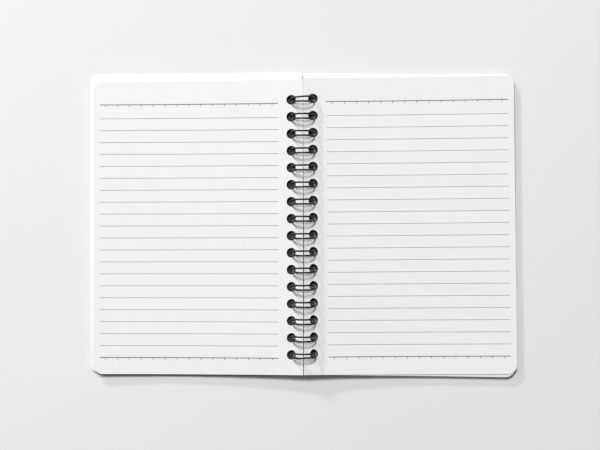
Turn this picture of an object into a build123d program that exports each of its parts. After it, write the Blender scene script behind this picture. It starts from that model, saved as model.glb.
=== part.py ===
from build123d import *
import os
from math import cos, hypot, pi, radians, sin, sqrt

# A6 notebook on a twin-loop wire binding, lying open and flat on its covers.
# Millimetres. +X runs right across the two pages, +Y towards the head of the pages, +Z up.
# The origin is on the surface that the notebook lies on, under the middle of the spine.

# ---- leaves and covers, which are cut together ----
LEAF_WIDTH = 105.0
LEAF_HEIGHT = 148.0
CORNER_RADIUS = 4.5          # at the two outer corners
BLOCK_THICKNESS = 2.2        # leaves on one side of the opening, pressed together
GUTTER_GAP = 0.6             # between the inner edges of the left and right leaves
COVER_THICKNESS = 0.5
COVER_TO_BLOCK_GAP = 0.15    # air between a cover and the leaves that lie on it

# ---- twin-loop wire ----
WIRE_DIAMETER = 0.8
RING_DIAMETER = 12.0         # over the outside of a closed loop
LOOP_PITCH = 25.4 / 3        # three loops to the inch
LOOP_WIDTH = 2.25            # between the centre lines of the two wires of a loop
ROOT_BEND_RADIUS = 1.0       # where a loop leaves the line of wire that joins the loops
ROOT_ANGLE = 292.0           # degrees round the ring from +X, where a loop leaves that line
TIP_ANGLE = 254.5            # degrees round the ring, where the rounded tip of a loop begins

# ---- fits ----
COVER_HOLE_CLEARANCE = 0.3   # least gap between the wire and the wall of its hole in a cover
LEAF_HOLE_CLEARANCE = 0.5    # the same in the leaves, whose holes are larger so that they turn freely
END_MARGIN = 8.0             # least distance from the end of a leaf to the centre of a hole
CLOSING_GAP = 0.55           # from the top leaf at the gutter up to the axis of the rings
RISE_START = 75.0            # from the spine to where the covers leave the surface

wire_radius = WIRE_DIAMETER / 2
ring_radius = RING_DIAMETER / 2 - wire_radius     # of the wire's centre line
tip_drop = -ring_radius * sin(radians(TIP_ANGLE)) - LOOP_WIDTH / 2 * cos(radians(TIP_ANGLE))
ring_centre_z = tip_drop + wire_radius            # the tips of the loops rest on the surface
inner_edge_x = GUTTER_GAP / 2
block_base = COVER_THICKNESS + COVER_TO_BLOCK_GAP
stack_thickness = block_base + BLOCK_THICKNESS
spine_rise = ring_centre_z - CLOSING_GAP - stack_thickness
loop_count = int((LEAF_HEIGHT - 2 * END_MARGIN) // LOOP_PITCH) + 1

# Towards the spine each cover bends up off the surface in one arc, tangent to it at RISE_START.
rise_run = RISE_START - inner_edge_x
rise_radius = (rise_run**2 + spine_rise**2) / (2 * spine_rise)


def rise_at(x):
    """Height of the underside of a cover at the distance x from the spine."""
    run = max(RISE_START - x, 0)
    return rise_radius - sqrt(rise_radius**2 - run**2)


def ring_x_at(z):
    """Distance from the spine to the ring's centre line at the height z."""
    return sqrt(ring_radius**2 - (z - ring_centre_z) ** 2)


def hole_radius_at(hole_x, base, thickness, clearance):
    """Radius of a hole that clears both wires of a loop through the whole thickness of a sheet."""
    underside = rise_at(hole_x) + base
    crossings = [ring_x_at(underside), ring_x_at(underside + thickness)]
    furthest = max(abs(hole_x - crossing) for crossing in crossings)
    return wire_radius + hypot(furthest, LOOP_WIDTH / 2) + clearance


# The leaves are punched where the rings are widest, and the covers where the rings curve in below.
leaf_hole_x = ring_radius
cover_hole_x = ring_x_at(rise_at(ring_radius) + COVER_THICKNESS / 2)
leaf_hole_radius = hole_radius_at(leaf_hole_x, block_base, BLOCK_THICKNESS, LEAF_HOLE_CLEARANCE)
cover_hole_radius = hole_radius_at(cover_hole_x, 0, COVER_THICKNESS, COVER_HOLE_CLEARANCE)


def loop_y(index):
    """Place of a loop along the spine."""
    return (index - (loop_count - 1) / 2) * LOOP_PITCH


def curved_sheet(base, thickness, hole_x, hole_radius):
    """A punched sheet or block on the right-hand side, its underside at base above the cover's."""
    lower_radius = rise_radius - base
    upper_radius = lower_radius - thickness
    lower_start = (inner_edge_x, rise_radius - sqrt(lower_radius**2 - rise_run**2))
    upper_start = (inner_edge_x, rise_radius - sqrt(upper_radius**2 - rise_run**2))
    lower_tangent = (RISE_START, base)
    upper_tangent = (RISE_START, base + thickness)
    fore_x = inner_edge_x + LEAF_WIDTH
    outline = Wire(
        [
            Edge.make_tangent_arc(lower_tangent, (-1, 0), lower_start),
            Edge.make_line(lower_start, upper_start),
            Edge.make_tangent_arc(upper_tangent, (-1, 0), upper_start),
            Edge.make_line(upper_tangent, (fore_x, base + thickness)),
            Edge.make_line((fore_x, base + thickness), (fore_x, base)),
            Edge.make_line((fore_x, base), lower_tangent),
        ]
    )
    section = Plane.XZ * Face(outline)
    sheet = extrude(section, LEAF_HEIGHT / 2, both=True)
    corners = sheet.edges().filter_by(Axis.Z).group_by(Axis.X)[-1]
    sheet = fillet(corners, CORNER_RADIUS)
    drill_height = 4 * ring_centre_z
    holes = [
        Pos(hole_x, loop_y(index), 0) * Cylinder(hole_radius, drill_height)
        for index in range(loop_count)
    ]
    return sheet - holes


def ring_point(angle, y):
    """Point on the ring's centre line at an angle in degrees, anticlockwise from +X."""
    turn = radians(angle)
    return Vector(ring_radius * cos(turn), y, ring_centre_z + ring_radius * sin(turn))


def ring_tangent(angle):
    """Unit direction of the ring's centre line, anticlockwise."""
    turn = radians(angle)
    return Vector(-sin(turn), 0, cos(turn))


def loop_edges(index):
    """Centre line of one loop: up one leg, round the tip and down the other leg."""
    half = LOOP_WIDTH / 2
    low_y = loop_y(index) - half
    high_y = loop_y(index) + half
    start = ROOT_ANGLE - 360
    middle = (start + TIP_ANGLE) / 2
    tip = ring_point(TIP_ANGLE, loop_y(index)) + ring_tangent(TIP_ANGLE) * half
    rising = Edge.make_three_point_arc(
        ring_point(start, low_y), ring_point(middle, low_y), ring_point(TIP_ANGLE, low_y)
    )
    turning = Edge.make_three_point_arc(ring_point(TIP_ANGLE, low_y), tip, ring_point(TIP_ANGLE, high_y))
    falling = Edge.make_three_point_arc(
        ring_point(TIP_ANGLE, high_y), ring_point(middle, high_y), ring_point(start, high_y)
    )
    return [rising, turning, falling]


def root_edges(index):
    """Centre line of the flat-bottomed link from one loop to the next."""
    bend = ROOT_BEND_RADIUS
    outward = ring_tangent(ROOT_ANGLE) * -1
    first = ring_point(ROOT_ANGLE, loop_y(index) + LOOP_WIDTH / 2)
    last = ring_point(ROOT_ANGLE, loop_y(index + 1) - LOOP_WIDTH / 2)
    along = Vector(0, 1, 0)
    share = sqrt(0.5)
    first_middle = first + along * (bend * (1 - share)) + outward * (bend * share)
    first_end = first + along * bend + outward * bend
    last_middle = last - along * (bend * (1 - share)) + outward * (bend * share)
    last_start = last - along * bend + outward * bend
    return [
        Edge.make_three_point_arc(first, first_middle, first_end),
        Edge.make_line(first_end, last_start),
        Edge.make_three_point_arc(last_start, last_middle, last),
    ]


def binding_wire():
    """The whole binding, bent from one length of round wire."""
    edges = []
    for index in range(loop_count):
        edges += loop_edges(index)
        if index < loop_count - 1:
            edges += root_edges(index)
    path = Wire(edges)
    start_plane = Plane(origin=path @ 0, z_dir=path % 0)
    solid = sweep(start_plane * Circle(wire_radius), path=path)
    expected = pi * wire_radius**2 * path.length
    print(f"wire length {path.length:.1f}, volume {solid.volume:.2f}, section x length {expected:.2f}")
    return solid


def write(shape, name):
    """Write one sub-part as a STEP file."""
    shape.label = name
    export_step(shape, f"parts/{name}.step")


os.makedirs("parts", exist_ok=True)

cover = curved_sheet(0, COVER_THICKNESS, cover_hole_x, cover_hole_radius)
leaves = curved_sheet(block_base, BLOCK_THICKNESS, leaf_hole_x, leaf_hole_radius)

write(cover, "back_cover")
write(mirror(cover, about=Plane.YZ), "front_cover")
write(leaves, "right_leaves")
write(mirror(leaves, about=Plane.YZ), "left_leaves")
write(binding_wire(), "wire_binding")

print(f"holes {2 * leaf_hole_radius:.2f} across in the leaves, {2 * cover_hole_radius:.2f} in the covers")
print(f"loops {loop_count}, cover holes at {cover_hole_x:.2f}, spine rise {spine_rise:.2f}")
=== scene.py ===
import logging
import math
import random
from dataclasses import dataclass, field
from enum import Enum
from typing import Any

import bpy
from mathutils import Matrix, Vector
from mathutils.geometry import delaunay_2d_cdt


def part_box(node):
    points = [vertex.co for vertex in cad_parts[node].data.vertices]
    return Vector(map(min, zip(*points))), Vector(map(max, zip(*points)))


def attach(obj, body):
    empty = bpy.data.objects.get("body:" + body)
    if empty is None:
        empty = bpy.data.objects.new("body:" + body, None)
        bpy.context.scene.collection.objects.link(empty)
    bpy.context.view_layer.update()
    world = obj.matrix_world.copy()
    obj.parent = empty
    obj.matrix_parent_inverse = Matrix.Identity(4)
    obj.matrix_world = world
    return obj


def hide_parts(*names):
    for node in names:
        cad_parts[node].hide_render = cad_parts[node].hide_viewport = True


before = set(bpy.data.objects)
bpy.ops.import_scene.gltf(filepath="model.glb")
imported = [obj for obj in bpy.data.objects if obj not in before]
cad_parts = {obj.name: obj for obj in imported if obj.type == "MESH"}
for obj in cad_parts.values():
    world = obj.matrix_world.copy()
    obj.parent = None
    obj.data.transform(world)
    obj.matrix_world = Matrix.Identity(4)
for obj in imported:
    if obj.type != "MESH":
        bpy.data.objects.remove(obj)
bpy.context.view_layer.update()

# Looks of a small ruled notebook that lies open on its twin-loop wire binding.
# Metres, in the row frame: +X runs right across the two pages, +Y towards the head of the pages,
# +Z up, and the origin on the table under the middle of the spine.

LOG = logging.getLogger("notebook")
MM = 0.001
LOOP_PITCH = 25.4 * MM / 3       # three loops, and three holes, to the inch

Colour = tuple[float, float, float, float]


class Side(Enum):
    """The two sides of the opening, with the way that each one lies along X."""

    LEFT = -1
    RIGHT = 1

    @property
    def word(self) -> str:
        """The side's name as pieces use it."""
        return self.name.lower()

    @property
    def leaves(self) -> str:
        """The CAD node, and the body, of the leaves on this side."""
        return f"{self.word}_leaves"

    @property
    def cover(self) -> str:
        """The CAD node of the cover under this side."""
        return "front_cover" if self is Side.LEFT else "back_cover"


def row_place(index: int, count: int) -> float:
    """The place along the spine of one loop, or hole, of a row counted from the tail."""
    return (index - (count - 1) / 2) * LOOP_PITCH


# ---- node trees ----

class Signal:
    """A number that flows through a node tree, usable in Python expressions."""

    def __init__(self, graph: "Graph", socket: bpy.types.NodeSocket) -> None:
        """Wrap a socket of the graph's tree."""
        self.graph = graph
        self.socket = socket

    def _math(self, operation: str, *values: "Signal | float") -> "Signal":
        """Add a Math node.

        Args:
            operation: The node's operation.
            values: Its inputs in order, numbers or signals.

        Returns:
            The node's result.
        """
        node = self.graph.node("ShaderNodeMath", {"operation": operation}, dict(enumerate(values)))
        return Signal(self.graph, node.outputs[0])

    def __add__(self, other: "Signal | float") -> "Signal":
        """This plus other."""
        return self._math("ADD", self, other)

    def __radd__(self, other: float) -> "Signal":
        """Other plus this."""
        return self._math("ADD", other, self)

    def __sub__(self, other: "Signal | float") -> "Signal":
        """This minus other."""
        return self._math("SUBTRACT", self, other)

    def __rsub__(self, other: float) -> "Signal":
        """Other minus this."""
        return self._math("SUBTRACT", other, self)

    def __mul__(self, other: "Signal | float") -> "Signal":
        """This times other."""
        return self._math("MULTIPLY", self, other)

    def __rmul__(self, other: float) -> "Signal":
        """Other times this."""
        return self._math("MULTIPLY", other, self)

    def __truediv__(self, other: "Signal | float") -> "Signal":
        """This divided by other."""
        return self._math("DIVIDE", self, other)

    def __abs__(self) -> "Signal":
        """This without its sign."""
        return self._math("ABSOLUTE", self)

    def root(self) -> "Signal":
        """The square root."""
        return self._math("SQRT", self)

    def rounded(self) -> "Signal":
        """The nearest whole number."""
        return self._math("ROUND", self)

    def at_least(self, floor: float) -> "Signal":
        """This, or floor where this is lower."""
        return self._math("MAXIMUM", self, floor)

    def at_most(self, ceiling: float) -> "Signal":
        """This, or ceiling where this is higher."""
        return self._math("MINIMUM", self, ceiling)

    def either(self, other: "Signal") -> "Signal":
        """The stronger of two masks."""
        return self._math("MAXIMUM", self, other)

    def held(self) -> "Signal":
        """This, held between nought and one."""
        return self.at_least(0.0).at_most(1.0)

    def past(self, start: "Signal | float", run: "Signal | float") -> "Signal":
        """How many runs this is past a start, and nought before it."""
        return ((self - start) / run).at_least(0.0)

    def near(self, start: "Signal | float", run: "Signal | float") -> "Signal":
        """One up to a start, falling to nought over the run beyond it."""
        return (1.0 - (self - start) / run).held()

    def between(self, low: float, high: float, soft: float) -> "Signal":
        """One from low to high and nought outside, with edges that fade over soft.

        Args:
            low: The lower end.
            high: The upper end.
            soft: The width of each faded edge.

        Returns:
            The mask.
        """
        distance = abs(self - (low + high) / 2)
        return (((high - low + soft) / 2 - distance) / soft).held()


class Graph:
    """A node tree that is filled by one method."""

    def __init__(self, tree: bpy.types.NodeTree) -> None:
        """Fill the given tree."""
        self.tree = tree

    def node(self, kind: str, settings: dict[str, Any] | None = None,
             inputs: dict[int | str, Any] | None = None) -> bpy.types.Node:
        """Add a node, give it its settings, then its inputs.

        Args:
            kind: The node's type.
            settings: Properties of the node, set first.
            inputs: A value, socket or signal for each input, by name or by place among those in use.

        Returns:
            The node.
        """
        made = self.tree.nodes.new(kind)
        for key, value in (settings or {}).items():
            setattr(made, key, value)
        in_use = [socket for socket in made.inputs if socket.enabled]
        for key, value in (inputs or {}).items():
            place = in_use[key] if isinstance(key, int) else next(s for s in in_use if s.name == key)
            source = value.socket if isinstance(value, Signal) else value
            if isinstance(source, bpy.types.NodeSocket):
                self.tree.links.new(source, place)
            else:
                place.default_value = source
        return made

    def signal(self, kind: str, settings: dict[str, Any] | None = None,
               inputs: dict[int | str, Any] | None = None) -> Signal:
        """Add a node and take the first of its outputs that is in use.

        Args:
            kind: The node's type.
            settings: Properties of the node.
            inputs: Values for its inputs.

        Returns:
            The output, as a signal.
        """
        made = self.node(kind, settings, inputs)
        return Signal(self, next(socket for socket in made.outputs if socket.enabled))

    def split(self, vector: bpy.types.NodeSocket) -> tuple[Signal, Signal, Signal]:
        """The three parts of a vector."""
        made = self.node("ShaderNodeSeparateXYZ", inputs={"Vector": vector})
        return tuple(Signal(self, socket) for socket in made.outputs)

    def joined(self, x: "Signal | float" = 0.0, y: "Signal | float" = 0.0,
               z: "Signal | float" = 0.0) -> bpy.types.NodeSocket:
        """A vector of three numbers."""
        return self.node("ShaderNodeCombineXYZ", inputs={"X": x, "Y": y, "Z": z}).outputs[0]


class Finish(Graph):
    """The shader tree of one material, with the steps that every finish here shares."""

    def __init__(self, name: str) -> None:
        """Start an empty material.

        Args:
            name: The material's name.
        """
        self.material = bpy.data.materials.new(name)
        self.material.use_nodes = True
        super().__init__(self.material.node_tree)
        self.tree.nodes.clear()
        self.place = self.node("ShaderNodeTexCoord").outputs["Object"]

    def grain(self, size: float, detail: float = 3.0,
              stretch: tuple[float, float, float] = (1.0, 1.0, 1.0), rough: float = 0.5) -> Signal:
        """Noise at a real size.

        Args:
            size: The width of one patch, in metres.
            detail: How many finer layers it holds.
            stretch: How much the pattern is drawn out along each axis.
            rough: How strong the finer layers are.

        Returns:
            The noise, about 0.5 on average.
        """
        scaled = self.node("ShaderNodeMapping", {"vector_type": "TEXTURE"},
                           {"Vector": self.place, "Scale": Vector(stretch) * size})
        return self.signal("ShaderNodeTexNoise", {"noise_dimensions": "3D"},
                           {"Vector": scaled.outputs[0], "Scale": 1.0, "Detail": detail,
                            "Roughness": rough})

    def mix(self, share: Signal, first: Any, second: Colour) -> bpy.types.NodeSocket:
        """A colour between two others, by a share."""
        made = self.node("ShaderNodeMix", {"data_type": "RGBA"},
                         {"Factor": share, "A": first, "B": second})
        return next(socket for socket in made.outputs if socket.enabled)

    def relief(self, height: Signal, depth: float, strength: float) -> bpy.types.NodeSocket:
        """A surface normal from a height.

        Args:
            height: The height, from nought to one.
            depth: The real depth in metres that one stands for.
            strength: How much of it shows.

        Returns:
            The normal.
        """
        return self.node("ShaderNodeBump", inputs={
            "Height": height, "Distance": depth, "Strength": strength}).outputs[0]

    def close(self, inputs: dict[int | str, Any]) -> bpy.types.Material:
        """Add the shader and the output.

        Args:
            inputs: Values and links for the shader's sockets.

        Returns:
            The finished material.
        """
        shader = self.node("ShaderNodeBsdfPrincipled", inputs=inputs)
        self.node("ShaderNodeOutputMaterial", inputs={"Surface": shader.outputs[0]})
        return self.material


class Tree(Graph):
    """A geometry node tree with named inputs, run once on an object."""

    KINDS = {float: "NodeSocketFloat", int: "NodeSocketInt",
             bpy.types.Material: "NodeSocketMaterial"}

    def __init__(self, name: str, inputs: dict[str, Any]) -> None:
        """Start the tree.

        Args:
            name: The tree's name.
            inputs: The value of each named input: a number, a count or a material.
        """
        super().__init__(bpy.data.node_groups.new(name, "GeometryNodeTree"))
        face = self.tree.interface
        face.new_socket("Geometry", in_out="INPUT", socket_type="NodeSocketGeometry")
        face.new_socket("Geometry", in_out="OUTPUT", socket_type="NodeSocketGeometry")
        self.values: dict[str, Any] = {}
        for label, value in inputs.items():
            socket = face.new_socket(label, in_out="INPUT", socket_type=self.KINDS[type(value)])
            self.values[socket.identifier] = value
        self.source = self.node("NodeGroupInput")

    def take(self, label: str) -> Signal:
        """One of the tree's own inputs."""
        return Signal(self, self.source.outputs[label])

    def close(self, geometry: bpy.types.NodeSocket) -> None:
        """End the tree in realised instances that have the input's material.

        Args:
            geometry: What the steps before have made.
        """
        real = self.node("GeometryNodeRealizeInstances", inputs={"Geometry": geometry})
        dressed = self.node("GeometryNodeSetMaterial", inputs={
            "Geometry": real.outputs[0], "Material": self.take("Material")})
        self.node("NodeGroupOutput", inputs={"Geometry": dressed.outputs[0]})

    def run(self, name: str, mesh: bpy.types.Mesh) -> bpy.types.Object:
        """Run the tree on a mesh.

        Args:
            name: The name of the new object.
            mesh: The mesh that the tree starts from.

        Returns:
            An object with a plain mesh and no modifier.
        """
        piece = bpy.data.objects.new(name, mesh)
        bpy.context.scene.collection.objects.link(piece)
        modifier = piece.modifiers.new("build", "NODES")
        modifier.node_group = self.tree
        for identifier, value in self.values.items():
            modifier[identifier] = value
        piece.update_tag()
        bpy.context.view_layer.update()
        depsgraph = bpy.context.evaluated_depsgraph_get()
        made = bpy.data.meshes.new_from_object(piece.evaluated_get(depsgraph), depsgraph=depsgraph)
        piece.modifiers.remove(modifier)
        piece.data = made
        made.name = name
        bpy.data.meshes.remove(mesh)
        return piece


# ---- how the leaves lie ----

@dataclass(frozen=True)
class Lie:
    """How one leaf, or a pile of them, lies in the binding, in millimetres and degrees."""

    seed: int                                   # of the strays of single leaves
    slip: float = 0.0                           # the most that a leaf strays sideways
    scatter: float = 0.0                        # the most that a leaf strays in its turn
    shift: tuple[float, float] = (0.0, 0.0)     # of the whole pile along X and Y
    turn: float = 0.0                           # of the whole pile about the origin
    fore: float = 0.0                           # reach of the lowest leaf at the fore edge
    head: float = 0.0                           # reach of the lowest leaf at the head
    head_taper: float = 0.0                     # share of that reach lost at the fore edge
    tail: float = 0.0                           # reach of every leaf at the tail
    tail_taper: float = 0.0                     # share of that reach lost at the spine, which
                                                # past one leaves the leaf shorter there
    trim: float = 0.0                           # how far the inner edge stands back
    crest: float = 0.0                          # how far the inner edge bends up
    curl: float = 0.0                           # how far the fore edge bends up
    lift: float = 0.0                           # how far the tail edge bends up


# ---- finishes ----

@dataclass(frozen=True)
class CoatedWire:
    """Black nylon coating on steel wire: smooth, half glossy and faintly scuffed."""

    colour: Colour = (0.009, 0.009, 0.0088, 1.0)
    scuffed: Colour = (0.022, 0.022, 0.021, 1.0)
    ripple: float = 0.45 * MM
    ripple_depth: float = 0.012 * MM
    ripple_strength: float = 0.5
    scuff: float = 0.9 * MM
    scuff_start: float = 0.60            # in the noise, where scuffs begin
    scuff_end: float = 0.90
    scuff_soft: float = 0.16
    roughness: float = 0.30
    ripple_roughness: float = 0.16
    scuff_roughness: float = 0.12
    specular: float = 0.35

    def material(self) -> bpy.types.Material:
        """Make the material.

        Returns:
            The material.
        """
        finish = Finish("coated_wire")
        wave = finish.grain(self.ripple, 2.0)
        rub = finish.grain(self.scuff, 4.0, (1.0, 2.5, 1.0), 0.6)
        worn = rub.between(self.scuff_start, self.scuff_end, self.scuff_soft)
        return finish.close({
            "Base Color": finish.mix(worn, self.colour, self.scuffed),
            "Roughness": (self.roughness + self.ripple_roughness * wave
                          + self.scuff_roughness * worn),
            "Specular IOR Level": self.specular,
            "Normal": finish.relief(wave, self.ripple_depth, self.ripple_strength),
        })


@dataclass(frozen=True)
class CoverCard:
    """Dyed card, matt, with short fibres that catch the light."""

    name: str
    colour: Colour
    fibre_colour: Colour
    fibre: float = 0.22 * MM
    fibre_depth: float = 0.03 * MM
    fibre_relief: float = 0.6
    fibre_share: float = 0.65
    cloud: float = 9.0 * MM
    cloud_share: float = 0.5
    roughness: float = 0.72
    cloud_roughness: float = 0.2
    specular: float = 0.35

    def material(self) -> bpy.types.Material:
        """Make the material.

        Returns:
            The material.
        """
        finish = Finish(self.name)
        along = finish.grain(self.fibre, 3.0, (5.0, 1.0, 1.0), 0.6)
        across = finish.grain(self.fibre, 3.0, (1.0, 4.0, 1.0), 0.6)
        cloud = finish.grain(self.cloud)
        fibres = along.between(0.62, 1.0, 0.12) + 0.7 * across.between(0.64, 1.0, 0.12)
        share = (self.fibre_share * fibres + self.cloud_share * (cloud - 0.5)).held()
        return finish.close({
            "Base Color": finish.mix(share, self.colour, self.fibre_colour),
            "Roughness": self.roughness + self.cloud_roughness * cloud,
            "Specular IOR Level": self.specular,
            "Normal": finish.relief((along + across) * 0.5, self.fibre_depth, self.fibre_relief),
        })


@dataclass(frozen=True)
class Ruling:
    """The printed lines of a page, in millimetres, the same on both sides of a leaf."""

    head: float = 11.8           # from the head of the leaf to the bold line there
    head_space: float = 7.0      # from that line to the first thin one
    spacing: float = 6.0
    lines: int = 20
    inner_margin: float = 12.0
    length: float = 90.0
    thin: float = 0.24
    thin_strength: float = 0.88
    bold: float = 0.44
    tick_start: float = 3.0
    tick_length: float = 1.0
    tick_width: float = 0.32
    soft: float = 0.05

    @property
    def foot(self) -> float:
        """From the head of the leaf to the bold line at the foot."""
        return self.head + self.head_space + self.lines * self.spacing

    def _repeated(self, steps: Signal, width: float) -> Signal:
        """Lines of a width at every whole step of the spacing."""
        off = abs(steps - steps.rounded()) * self.spacing
        return off.between(-width / 2, width / 2, self.soft)

    def mask(self, across: Signal, down: Signal) -> Signal:
        """Where the ink is.

        Args:
            across: The distance from the inner edge of the leaf.
            down: The distance from the head of the leaf.

        Returns:
            One on the strongest ink and nought on bare paper.
        """
        along = across - self.inner_margin
        on_line = along.between(0.0, self.length, self.soft)
        row = (down - (self.head + self.head_space)) / self.spacing
        ink = self._repeated(row, self.thin) * row.between(-0.5, self.lines - 0.5, self.soft)
        ink = self.thin_strength * ink
        ticks = self._repeated((along - self.tick_start) / self.spacing, self.tick_width)
        for place in (self.head, self.foot):
            drop = down - place
            line = drop.between(-self.bold / 2, self.bold / 2, self.soft)
            ink = ink + line.either(ticks * drop.between(0.0, self.tick_length, self.soft))
        return on_line * ink.at_most(1.0)


@dataclass(frozen=True)
class LeafPaper:
    """White writing paper, ruled in grey, with a soft tooth and faint clouds."""

    name: str
    side: Side
    inner_edge: float
    half_height: float
    lie: Lie
    ruling: Ruling = Ruling()
    white: Colour = (0.886, 0.884, 0.870, 1.0)
    shade: Colour = (0.838, 0.836, 0.821, 1.0)
    ink: Colour = (0.15, 0.15, 0.152, 1.0)
    tooth: float = 0.35 * MM
    tooth_depth: float = 0.11 * MM
    tooth_relief: float = 0.7
    tooth_share: float = 0.6             # of the relief, and the cloud has the rest
    cloud: float = 6.0 * MM
    wear: float = 0.5 * MM
    worn_ink: float = 0.88               # the least ink of a printed line
    wear_ink: float = 0.24
    roughness: float = 0.66
    tooth_roughness: float = 0.2
    specular: float = 0.3

    def _ruled(self, finish: Finish) -> Signal:
        """The mask of the ruling, which lies as the leaf does.

        Args:
            finish: The tree of the material.

        Returns:
            How much ink there is.
        """
        on_leaf = finish.node("ShaderNodeMapping", {"vector_type": "TEXTURE"}, {
            "Vector": finish.place,
            "Location": (self.lie.shift[0] * MM, self.lie.shift[1] * MM, 0.0),
            "Rotation": (0.0, 0.0, math.radians(self.lie.turn)), "Scale": (MM, MM, MM)})
        x, y, _ = finish.split(on_leaf.outputs[0])
        across = x * float(self.side.value) - self.inner_edge / MM
        worn = (self.worn_ink + self.wear_ink * finish.grain(self.wear)).at_most(1.0)
        return self.ruling.mask(across, self.half_height / MM - y) * worn

    def material(self) -> bpy.types.Material:
        """Make the material.

        Returns:
            The material.
        """
        finish = Finish(self.name)
        fibre = finish.grain(self.tooth, 4.0, (1.6, 1.0, 1.0), 0.62)
        cloud = finish.grain(self.cloud, 4.0, (1.0, 1.3, 1.0), 0.6)
        paper = finish.mix((0.9 * cloud + 0.9 * fibre - 0.4).held(), self.white, self.shade)
        height = self.tooth_share * fibre + (1 - self.tooth_share) * cloud
        return finish.close({
            "Base Color": finish.mix(self._ruled(finish), paper, self.ink),
            "Roughness": self.roughness + self.tooth_roughness * fibre,
            "Specular IOR Level": self.specular,
            "Normal": finish.relief(height, self.tooth_depth, self.tooth_relief),
        })


@dataclass(frozen=True)
class TablePaint:
    """The pale, faintly mottled surface that the notebook lies on."""

    colour: Colour = (0.820, 0.819, 0.804, 1.0)
    shade: Colour = (0.794, 0.792, 0.776, 1.0)
    cloud: float = 40.0 * MM
    tooth: float = 1.2 * MM
    tooth_depth: float = 0.04 * MM
    tooth_relief: float = 0.25
    cloud_share: float = 0.6             # of the colour, and the tooth has the rest
    roughness: float = 0.62
    tooth_roughness: float = 0.15
    specular: float = 0.25

    def material(self) -> bpy.types.Material:
        """Make the material.

        Returns:
            The material.
        """
        finish = Finish("table_paint")
        cloud = finish.grain(self.cloud, 4.0)
        tooth = finish.grain(self.tooth)
        tone = self.cloud_share * cloud + (1 - self.cloud_share) * tooth
        return finish.close({
            "Base Color": finish.mix(tone, self.colour, self.shade),
            "Roughness": self.roughness + self.tooth_roughness * tooth,
            "Specular IOR Level": self.specular,
            "Normal": finish.relief(tooth, self.tooth_depth, self.tooth_relief),
        })


# ---- the wire ----

@dataclass(frozen=True)
class Loop:
    """How the upper half of one loop differs from a true one, in millimetres."""

    lean: float = 0.0       # of the whole loop towards the head
    bow: float = 0.0        # of its two legs apart
    slant: float = 0.0      # of the leg nearer the tail, from side to side
    skew: float = 0.0       # of the leg nearer the head, from side to side


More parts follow.
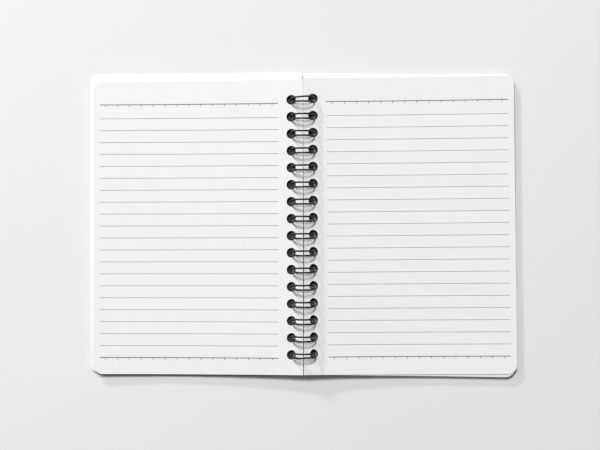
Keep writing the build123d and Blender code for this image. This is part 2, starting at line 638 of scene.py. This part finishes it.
@dataclass
class WireBinding:
    """One length of wire, bent into a row of double loops."""

    wire_radius: float = 0.40 * MM
    coated_radius: float = 0.43 * MM
    loop_width: float = 2.25 * MM        # between the two wires of a loop
    root_bend: float = 1.0 * MM
    root_angle: float = 292.0            # degrees round the ring, where a loop leaves its line
    tip_angle: float = 254.5             # degrees round the ring, where its rounded tip begins
    arc_steps: int = 40
    tip_steps: int = 10
    bend_steps: int = 4
    wire_sides: int = 14
    fault_seed: int = 8
    least_lean: float = -0.33            # millimetres, as in Loop
    most_lean: float = -0.17
    bow: float = 0.05
    slant: float = 0.08
    tail_loop: Loop = Loop(-0.05, -0.20, 0.30)
    head_loop: Loop = Loop(-0.28, -0.02, -0.05, 0.40)
    ring_radius: float = field(init=False)
    centre_z: float = field(init=False)
    loops: int = field(init=False)

    def __post_init__(self) -> None:
        """Take the place of the rings and their number from the frame."""
        low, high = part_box("wire_binding")
        self.ring_radius = (high.x - low.x) / 2 - self.wire_radius
        self.centre_z = high.z - self.wire_radius - self.ring_radius
        span = high.y - low.y - self.loop_width - 2 * self.wire_radius
        self.loops = round(span / LOOP_PITCH) + 1

    def _faults(self) -> list[Loop]:
        """The small faults of every loop.

        Returns:
            One entry for each loop, from the tail to the head.
        """
        draw = random.Random(self.fault_seed)
        faults = [Loop(draw.uniform(self.least_lean, self.most_lean),
                       draw.uniform(-self.bow, self.bow),
                       draw.uniform(-self.slant, self.slant),
                       draw.uniform(-self.slant, self.slant))
                  for _ in range(self.loops)]
        return [self.tail_loop, *faults[1:-1], self.head_loop]

    def _ring(self, angle: float, y: float) -> Vector:
        """A point on a ring's centre line, anticlockwise from +X."""
        turn = math.radians(angle)
        return Vector((self.ring_radius * math.cos(turn), y,
                       self.centre_z + self.ring_radius * math.sin(turn)))

    def _heading(self, angle: float) -> Vector:
        """The way along a ring, anticlockwise."""
        turn = math.radians(angle)
        return Vector((-math.sin(turn), 0.0, math.cos(turn)))

    def _leg(self, index: int, way: int, fault: Loop) -> list[Vector]:
        """One leg of a loop, from the line of wire to the tip.

        Args:
            index: The loop's number from the tail.
            way: Minus one for the leg nearer the tail, and one for the other.
            fault: The loop's faults.

        Returns:
            The points of the leg.
        """
        true_y = row_place(index, self.loops) + way * self.loop_width / 2
        sideways = fault.slant if way < 0 else fault.skew
        start = self.root_angle - 360.0
        points = []
        for step in range(self.arc_steps + 1):
            angle = start + (self.tip_angle - start) * step / self.arc_steps
            turn = math.radians(angle)
            above = max(math.sin(turn), 0.0)
            stray = (fault.lean + way * fault.bow + sideways * math.cos(turn)) * above
            points.append(self._ring(angle, true_y + stray * MM))
        return points

    def _tip(self, index: int) -> list[Vector]:
        """The rounded tip of a loop, without its two ends.

        Args:
            index: The loop's number from the tail.

        Returns:
            The points of the tip, from the leg nearer the tail to the other.
        """
        half = self.loop_width / 2
        centre = self._ring(self.tip_angle, row_place(index, self.loops))
        onward = self._heading(self.tip_angle)
        points = []
        for step in range(1, self.tip_steps):
            turn = math.pi * step / self.tip_steps
            points.append(centre + Vector((0.0, -half * math.cos(turn), 0.0))
                          + onward * (half * math.sin(turn)))
        return points

    def _root(self, index: int, way: int) -> list[Vector]:
        """The bend in which a loop runs into the line of wire, without its first point.

        Args:
            index: The loop's number from the tail.
            way: One for the bend towards the head, and minus one for the other.

        Returns:
            The points of the bend, from the loop to the line.
        """
        start = self._ring(self.root_angle,
                           row_place(index, self.loops) + way * self.loop_width / 2)
        back = -self._heading(self.root_angle)
        points = []
        for step in range(1, self.bend_steps + 1):
            turn = math.pi / 2 * step / self.bend_steps
            points.append(start + Vector((0.0, way * self.root_bend * (1 - math.cos(turn)), 0.0))
                          + back * (self.root_bend * math.sin(turn)))
        return points

    def path(self) -> list[Vector]:
        """The centre line of the whole wire.

        Returns:
            Its points, from the tail to the head.
        """
        points: list[Vector] = []
        for index, fault in enumerate(self._faults()):
            points += self._leg(index, -1, fault)
            points += self._tip(index)
            points += reversed(self._leg(index, 1, fault))
            if index < self.loops - 1:
                points += self._root(index, 1)
                points += reversed(self._root(index + 1, -1))
        return points

    def build(self) -> None:
        """Sweep the wire along its path, and let it stand for the CAD wire."""
        line = bpy.data.meshes.new("wire_path")
        points = self.path()
        line.from_pydata(points, [(i, i + 1) for i in range(len(points) - 1)], [])
        tree = Tree("wire_sweep", {"Radius": self.coated_radius, "Sides": self.wire_sides,
                                   "Material": CoatedWire().material()})
        curve = tree.node("GeometryNodeMeshToCurve", {}, {"Mesh": tree.source.outputs["Geometry"]})
        section = tree.node("GeometryNodeCurvePrimitiveCircle", {}, {
            "Resolution": tree.take("Sides"), "Radius": tree.take("Radius")})
        tube = tree.node("GeometryNodeCurveToMesh", {}, {
            "Curve": curve.outputs[0], "Profile Curve": section.outputs[0], "Fill Caps": True})
        smooth = tree.node("GeometryNodeSetShadeSmooth", {}, {"Geometry": tube.outputs[0]})
        tree.close(smooth.outputs[0])
        piece = tree.run("twin_loop_wire", line)
        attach(piece, "binding")
        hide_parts("wire_binding")
        LOG.info("twin_loop_wire: %d polygons", len(piece.data.polygons))


# ---- the leaves ----

@dataclass(frozen=True)
class LeafBlank:
    """One flat punched leaf of one side, with its underside at height zero."""

    side: Side
    inner: float
    width: float
    height: float
    hole_x: float
    holes: int
    thickness: float = 0.092 * MM
    corner_radius: float = 4.5 * MM
    corner_steps: int = 8
    hole_radius: float = 2.50 * MM
    hole_steps: int = 24
    punch_shift: float = 0.35 * MM       # of all the holes towards the head
    mesh_step: float = 6.0 * MM          # between the points that let the leaf bend
    edge_columns: tuple[float, ...] = (0.6 * MM, 1.3 * MM, 2.1 * MM)
    merge_distance: float = 1e-7
    sharp_angle: float = 40.0

    @property
    def rows(self) -> int:
        """How many mesh steps go into the height."""
        return round(self.height / self.mesh_step)

    def _corner(self, middle: Vector, first: float) -> list[Vector]:
        """A quarter circle.

        Args:
            middle: Its middle.
            first: The angle in degrees at which it starts, anticlockwise from +X.

        Returns:
            Its points.
        """
        points = []
        for step in range(self.corner_steps + 1):
            turn = math.radians(first + 90.0 * step / self.corner_steps)
            points.append(middle + self.corner_radius * Vector((math.cos(turn), math.sin(turn))))
        return points

    def outline(self) -> list[Vector]:
        """The rim of the leaf: square at the inner edge and rounded at the fore edge.

        Returns:
            Its points, anticlockwise.
        """
        top = self.height / 2
        corner_x = self.inner + self.width - self.corner_radius
        straight = corner_x - self.inner
        columns = round(straight / self.mesh_step)
        steps = [straight * step / columns for step in range(1, columns)]
        points = [Vector((self.inner + step, -top)) for step in steps]
        points += self._corner(Vector((corner_x, self.corner_radius - top)), -90.0)
        points += self._corner(Vector((corner_x, top - self.corner_radius)), 0.0)
        points += [Vector((corner_x - step, top)) for step in steps]
        for row in range(self.rows + 1):
            points.append(Vector((self.inner, top - self.height * row / self.rows)))
        return points

    def _hole_middle(self, index: int) -> Vector:
        """The middle of one hole."""
        return Vector((self.hole_x, row_place(index, self.holes) + self.punch_shift))

    def _in_hole(self, place: Vector) -> bool:
        """Whether a place is inside the rim of a hole."""
        reach = self.hole_radius * math.cos(math.pi / self.hole_steps)
        return any((place - self._hole_middle(i)).length < reach for i in range(self.holes))

    def hole(self, index: int) -> list[Vector]:
        """The rim of one hole.

        Args:
            index: The hole's number from the tail.

        Returns:
            Its points, anticlockwise.
        """
        middle = self._hole_middle(index)
        turns = [2 * math.pi * step / self.hole_steps for step in range(self.hole_steps)]
        return [middle + self.hole_radius * Vector((math.cos(t), math.sin(t))) for t in turns]

    def inside(self) -> list[Vector]:
        """Points inside the leaf, so that it can bend.

        Returns:
            The points, clear of the rim and of the holes.
        """
        points = [Vector((self.inner + gap, self.height * (row / self.rows - 0.5)))
                  for gap in self.edge_columns for row in range(1, self.rows)]
        first = self.hole_x + self.hole_radius + self.mesh_step / 2
        across = self.inner + self.width - self.mesh_step / 2 - first
        columns = round(across / self.mesh_step)
        nearest = 0.4 / self.rows
        for column in range(columns):
            for row in range(1, self.rows):
                share = (row + 0.5 * (column % 2)) / self.rows - 0.5
                if abs(share) < 0.5 - nearest:
                    x = first + across * column / columns
                    points.append(Vector((x, self.height * share)))
        return points

    def _flat(self) -> tuple[list[Vector], list[tuple[int, ...]]]:
        """The leaf as a flat mesh.

        Returns:
            Its points, as on the right-hand side, and its faces, which look up once the points
            lie on the leaf's own side.
        """
        flat: list[Vector] = []
        edges: list[tuple[int, int]] = []
        for loop in [self.outline()] + [self.hole(index) for index in range(self.holes)]:
            first = len(flat)
            flat += loop
            edges += [(first + i, first + (i + 1) % len(loop)) for i in range(len(loop))]
        flat += self.inside()
        only_inside = 1
        points, _, found, *_ = delaunay_2d_cdt(flat, edges, [], only_inside, self.merge_distance)
        faces = []
        for face in found:
            middle = sum((points[i] for i in face), Vector((0, 0))) / len(face)
            if not self._in_hole(middle):
                faces.append(tuple(face) if self.side is Side.RIGHT else tuple(reversed(face)))
        return points, faces

    def mesh(self, name: str) -> bpy.types.Mesh:
        """Make the closed leaf.

        Args:
            name: The mesh's name.

        Returns:
            The mesh, with its sharp edges marked.
        """
        points, faces = self._flat()
        way = self.side.value
        count = len(points)
        low = [(way * p.x, p.y, 0.0) for p in points]
        high = [(way * p.x, p.y, self.thickness) for p in points]
        sides = {(face[i], face[(i + 1) % len(face)]) for face in faces for i in range(len(face))}
        rim = [(a, b) for a, b in sorted(sides) if (b, a) not in sides]
        solid = [tuple(i + count for i in face) for face in faces]
        solid += [tuple(reversed(face)) for face in faces]
        solid += [(a, b, b + count, a + count) for a, b in rim]
        made = bpy.data.meshes.new(name)
        made.from_pydata(low + high, [], solid)
        made.validate()
        made.shade_smooth()
        made.set_sharp_from_angle(angle=math.radians(self.sharp_angle))
        return made


class LeafTree(Tree):
    """Lays leaves on each other, fans them out and bends them up towards the spine."""

    STEP_RUN = 0.001        # the share of the depth over which the slip sets in

    def _stray(self, limit: str, step: int) -> Signal:
        """A random value for each leaf.

        Args:
            limit: The named input that holds the most it can be, either way.
            step: What is added to the seed, so that strays differ.

        Returns:
            The value.
        """
        return self.signal("FunctionNodeRandomValue", {"data_type": "FLOAT"}, {
            "Min": self.take(limit) * -1.0, "Max": self.take(limit),
            "ID": self.signal("GeometryNodeInputIndex"), "Seed": self.take("Seed") + float(step)})

    def _stack(self) -> bpy.types.NodeSocket:
        """Lay flat leaves one above the other, each with its own stray.

        Returns:
            The leaves as one mesh.
        """
        line = self.node("GeometryNodeMeshLine", {}, {
            "Count": self.take("Count"), "Start Location": self.joined(z=self.take("Base")),
            "Offset": self.joined(z=self.take("Spacing"))})
        across = self.take("Shift X") + self._stray("Slip", 0)
        along = self.take("Shift Y") + self._stray("Slip", 1) * self.take("Slip Along")
        spread = self.node("GeometryNodeSetPosition", {}, {
            "Geometry": line.outputs[0], "Offset": self.joined(across, along)})
        laid = self.node("GeometryNodeInstanceOnPoints", {}, {
            "Points": spread.outputs[0], "Instance": self.source.outputs["Geometry"],
            "Rotation": self.joined(z=self.take("Turn") + self._stray("Scatter", 2))})
        return self.node("GeometryNodeRealizeInstances", {}, {"Geometry": laid.outputs[0]}).outputs[0]

    def _reach(self, out: Signal, y: Signal, depth: Signal) -> tuple[Signal, Signal]:
        """How far the edges of the leaves are moved, with the holes kept where they are.

        Args:
            out: The distance from the spine.
            y: The place along the spine.
            depth: Nought at the top of the pile and one at the bottom.

        Returns:
            The move along X and along Y.
        """
        slipped = depth.past(self.take("Slip Depth"), self.STEP_RUN).at_most(1.0)
        fanned = self.take("Even Fan") * depth + self.take("Slipped Fan") * slipped
        outward = out / self.take("Fore Edge")
        at_fore = out.past(self.take("Fan Start"), self.take("Fan Run")).at_most(1.0)
        start, run = self.take("Stretch Start"), self.take("Stretch Run")
        at_head = y.past(start, run).at_most(1.0)
        at_tail = (y * -1.0).past(start, run).at_most(1.0)
        trim = out.near(self.take("Inner Edge"), self.take("Trim Run")) * self.take("Trim")
        head = self.take("Head") * (1.0 - self.take("Head Taper") * outward)
        tail = self.take("Tail") * (1.0 - self.take("Tail Taper") * (1.0 - outward))
        move_x = self.take("Way") * (self.take("Fore") * fanned * at_fore + trim)
        return move_x, head * fanned * at_head - tail * at_tail

    def _rise(self, out: Signal, y: Signal, share: Signal) -> Signal:
        """How far the leaves bend up: in one arc to the spine, and a little at their edges.

        Args:
            out: The distance from the spine.
            y: The place along the spine.
            share: Nought at the bottom of the pile and one at the top.

        Returns:
            The move along Z.
        """
        radius = self.take("Rise Radius")
        run = (self.take("Rise Start") - out).at_least(0.0)
        arc = radius - (radius * radius - run * run).root()
        curl_run, lift_run = self.take("Curl Run"), self.take("Lift Run")
        fore = out.past(self.take("Fore Edge") - curl_run, curl_run)
        tail = (y * -1.0).past(self.take("Tail Edge") - lift_run, lift_run)
        crest = out.near(self.take("Inner Edge"), self.take("Crest Run"))
        bends = (self.take("Curl") * fore * fore + self.take("Lift") * tail * tail
                 + self.take("Crest") * crest * crest)
        return arc + share * share * bends

    def fill(self) -> None:
        """Add every step, from the blank to the dressed leaves."""
        stacked = self._stack()
        x, y, z = self.split(self.node("GeometryNodeInputPosition").outputs[0])
        share = ((z - self.take("Block Base")) / self.take("Block")).at_most(1.0)
        out = abs(x)
        move_x, move_y = self._reach(out, y, 1.0 - share)
        bent = self.node("GeometryNodeSetPosition", {}, {
            "Geometry": stacked, "Offset": self.joined(move_x, move_y, self._rise(out, y, share))})
        self.close(bent.outputs[0])


@dataclass
class Leaves:
    """The loose leaves on one side of the opening: a pile, and the leaf that lies on top of it."""

    side: Side
    wire: WireBinding
    pile: Lie
    top: Lie
    count: int = 21
    block: float = 2.2 * MM              # thickness of all the leaves together
    rise_start: float = 75.0 * MM        # from the spine to where the leaves begin to rise
    slip_along: float = 0.3              # stray along the spine, as a share of that across it
    fan_start: float = 20.0 * MM         # from the spine to where lower leaves begin to reach out
    fan_run: float = 80.0 * MM
    even_fan: float = 0.6                # share of the reach that grows evenly with the depth
    slipped_fan: float = 0.4             # share that only the leaves below the slip have
    slip_depth: float = 0.5
    stretch_start: float = 67.0 * MM     # along the spine, just past the last hole
    trim_run: float = 2.5 * MM
    crest_run: float = 3.5 * MM
    curl_run: float = 45.0 * MM
    lift_run: float = 25.0 * MM
    base: float = field(init=False)
    rise: float = field(init=False)
    blank: LeafBlank = field(init=False)

    def __post_init__(self) -> None:
        """Take the sizes of this side from the frame."""
        low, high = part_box(self.side.leaves)
        inner = low.x if self.side is Side.RIGHT else -high.x
        self.base = low.z
        self.rise = high.z - low.z - self.block
        self.blank = LeafBlank(self.side, inner, high.x - low.x, high.y - low.y,
                               self.wire.ring_radius, self.wire.loops)

    @property
    def rise_radius(self) -> float:
        """The radius of the arc in which the leaves rise to the spine."""
        run = self.rise_start - self.blank.inner
        return (run**2 + self.rise**2) / (2 * self.rise)

    def _sizes(self, lie: Lie) -> dict[str, float]:
        """The tree's sizes that hold for this side, and those of one lie.

        Args:
            lie: How the leaves lie.

        Returns:
            The value of each named input.
        """
        blank = self.blank
        tail_edge = blank.height / 2
        return {
            "Shift X": lie.shift[0] * MM, "Shift Y": lie.shift[1] * MM,
            "Slip": lie.slip * MM, "Slip Along": self.slip_along,
            "Turn": math.radians(lie.turn), "Scatter": math.radians(lie.scatter),
            "Way": float(self.side.value), "Inner Edge": blank.inner,
            "Fore Edge": blank.inner + blank.width, "Tail Edge": tail_edge,
            "Fore": lie.fore * MM, "Fan Start": self.fan_start, "Fan Run": self.fan_run,
            "Even Fan": self.even_fan, "Slipped Fan": self.slipped_fan,
            "Slip Depth": self.slip_depth,
            "Head": lie.head * MM, "Head Taper": lie.head_taper,
            "Tail": lie.tail * MM, "Tail Taper": lie.tail_taper,
            "Stretch Start": self.stretch_start,
            "Stretch Run": tail_edge - blank.corner_radius - self.stretch_start,
            "Trim": lie.trim * MM, "Trim Run": self.trim_run,
            "Crest": lie.crest * MM, "Crest Run": self.crest_run,
            "Curl": lie.curl * MM, "Curl Run": self.curl_run,
            "Lift": lie.lift * MM, "Lift Run": self.lift_run,
            "Block Base": self.base, "Block": self.block,
            "Rise Start": self.rise_start, "Rise Radius": self.rise_radius,
        }

    def _lay(self, name: str, lie: Lie, first: int, count: int) -> bpy.types.Object:
        """Make one piece of leaves and let it ride.

        Args:
            name: The piece's name.
            lie: How its leaves lie.
            first: How many leaves lie below it.
            count: How many leaves it has.

        Returns:
            The piece.
        """
        paper = LeafPaper(f"{name}_paper", self.side, self.blank.inner, self.blank.height / 2, lie)
        spacing = self.block / self.count
        tree = LeafTree(name, {
            "Count": count, "Base": self.base + first * spacing, "Spacing": spacing,
            "Seed": lie.seed, "Material": paper.material()} | self._sizes(lie))
        tree.fill()
        piece = tree.run(name, self.blank.mesh(f"{name}_blank"))
        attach(piece, self.side.leaves)
        LOG.info("%s: %d polygons", name, len(piece.data.polygons))
        return piece

    def build(self) -> None:
        """Build the pile and the leaf on top of it."""
        below = self.count - 1
        pile = self._lay(f"{self.side.word}_leaf_pile", self.pile, 0, below)
        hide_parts(self.side.leaves)
        self._lay(f"{self.side.word}_top_leaf", self.top, below, 1)


# ---- the covers ----

@dataclass(frozen=True)
class Covers:
    """The two cards, whose CAD shapes are kept and dressed."""

    front: CoverCard = CoverCard("front_card", (0.030, 0.030, 0.031, 1.0),
                                 (0.085, 0.085, 0.086, 1.0))
    back: CoverCard = CoverCard("back_card", (0.060, 0.040, 0.027, 1.0),
                                (0.15, 0.11, 0.080, 1.0))

    def build(self) -> None:
        """Dress both covers."""
        for side, card in ((Side.LEFT, self.front), (Side.RIGHT, self.back)):
            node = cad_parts[side.cover]
            material = card.material()
            for place in node.material_slots:
                place.material = material
            LOG.info("%s: dressed as %s", side.cover, card.name)


# ---- the studio ----

@dataclass(frozen=True)
class Lamp:
    """One soft round light, in degrees, metres and watts."""

    name: str
    azimuth: float          # from +Y towards +X
    elevation: float
    distance: float
    width: float
    power: float

    @property
    def toward(self) -> Vector:
        """The way from the notebook to the light."""
        around, up = math.radians(self.azimuth), math.radians(self.elevation)
        return Vector((math.sin(around) * math.cos(up), math.cos(around) * math.cos(up), math.sin(up)))

    def build(self) -> None:
        """Make the light, aimed at the middle of the notebook."""
        data = bpy.data.lights.new(self.name, "AREA")
        data.shape = "DISK"
        data.size = self.width
        data.energy = self.power
        lamp = bpy.data.objects.new(self.name, data)
        lamp.location = self.toward * self.distance
        lamp.rotation_euler = self.toward.to_track_quat("Z", "Y").to_euler()
        bpy.context.scene.collection.objects.link(lamp)


@dataclass(frozen=True)
class Studio:
    """The table, the lights and the camera."""

    table_half: float = 1.5
    ambient: float = 0.08
    ambient_colour: Colour = (1.0, 1.0, 1.0, 1.0)
    camera_place: tuple[float, float, float] = (0.02962, -0.00777, 0.61137)
    camera_turn: tuple[float, float, float] = (0.817, 2.964, -0.336)
    lens: float = 73.24
    sensor: float = 36.0
    nearest: float = 0.01
    lamps: tuple[Lamp, ...] = (
        Lamp("head_light", -8.0, 61.0, 3.2, 0.80, 79.0),
        Lamp("side_light", -32.0, 26.0, 2.2, 0.26, 17.5),
        Lamp("fill_light", -85.0, 50.0, 0.8, 0.55, 0.9),
    )

    def _table(self) -> None:
        """A plain pale surface under the notebook."""
        half = self.table_half
        data = bpy.data.meshes.new("table")
        corners = [(-half, -half, 0.0), (half, -half, 0.0), (half, half, 0.0), (-half, half, 0.0)]
        data.from_pydata(corners, [], [(0, 1, 2, 3)])
        data.materials.append(TablePaint().material())
        table = bpy.data.objects.new("table", data)
        bpy.context.scene.collection.objects.link(table)

    def _camera(self) -> None:
        """A camera above the notebook, a little to the right of its middle."""
        data = bpy.data.cameras.new("camera")
        data.lens = self.lens
        data.sensor_width = self.sensor
        data.clip_start = self.nearest
        camera = bpy.data.objects.new("camera", data)
        camera.location = self.camera_place
        camera.rotation_euler = [math.radians(turn) for turn in self.camera_turn]
        bpy.context.scene.collection.objects.link(camera)
        bpy.context.scene.camera = camera

    def _world(self) -> None:
        """An even, faint light from all round."""
        world = bpy.data.worlds.new("room")
        world.use_nodes = True
        background = world.node_tree.nodes["Background"]
        background.inputs["Color"].default_value = self.ambient_colour
        background.inputs["Strength"].default_value = self.ambient
        bpy.context.scene.world = world

    def build(self) -> None:
        """Set up everything round the notebook."""
        self._table()
        self._camera()
        self._world()
        for lamp in self.lamps:
            lamp.build()
        bpy.context.scene.view_settings.view_transform = "Standard"


def main() -> None:
    """Build every piece, then the studio, and note the sizes."""
    logging.basicConfig(level=logging.INFO, format="%(name)s %(message)s")
    wire = WireBinding()
    wire.build()
    Covers().build()
    Leaves(
        Side.LEFT, wire,
        pile=Lie(3, slip=0.08, scatter=0.03, shift=(-0.65, -0.35), turn=-0.35,
                 fore=2.3, head=3.8, tail=-1.1, crest=0.3, curl=0.4),
        top=Lie(5, shift=(-0.32, -0.41), turn=-0.229, tail=-0.9, trim=-0.5, crest=0.35, curl=0.8),
    ).build()
    Leaves(
        Side.RIGHT, wire,
        pile=Lie(7, slip=0.08, scatter=0.03, shift=(-0.80, 0.05), turn=-0.30,
                 head=3.0, head_taper=0.4, tail=0.25, tail_taper=3.2, trim=0.95,
                 crest=0.05, curl=0.3),
        top=Lie(9, shift=(-0.41, 0.22), turn=0.145, tail=-0.35, trim=0.35,
                crest=0.05, curl=0.3, lift=0.35),
    ).build()
    Studio().build()


if __name__ == "__main__":
    main()
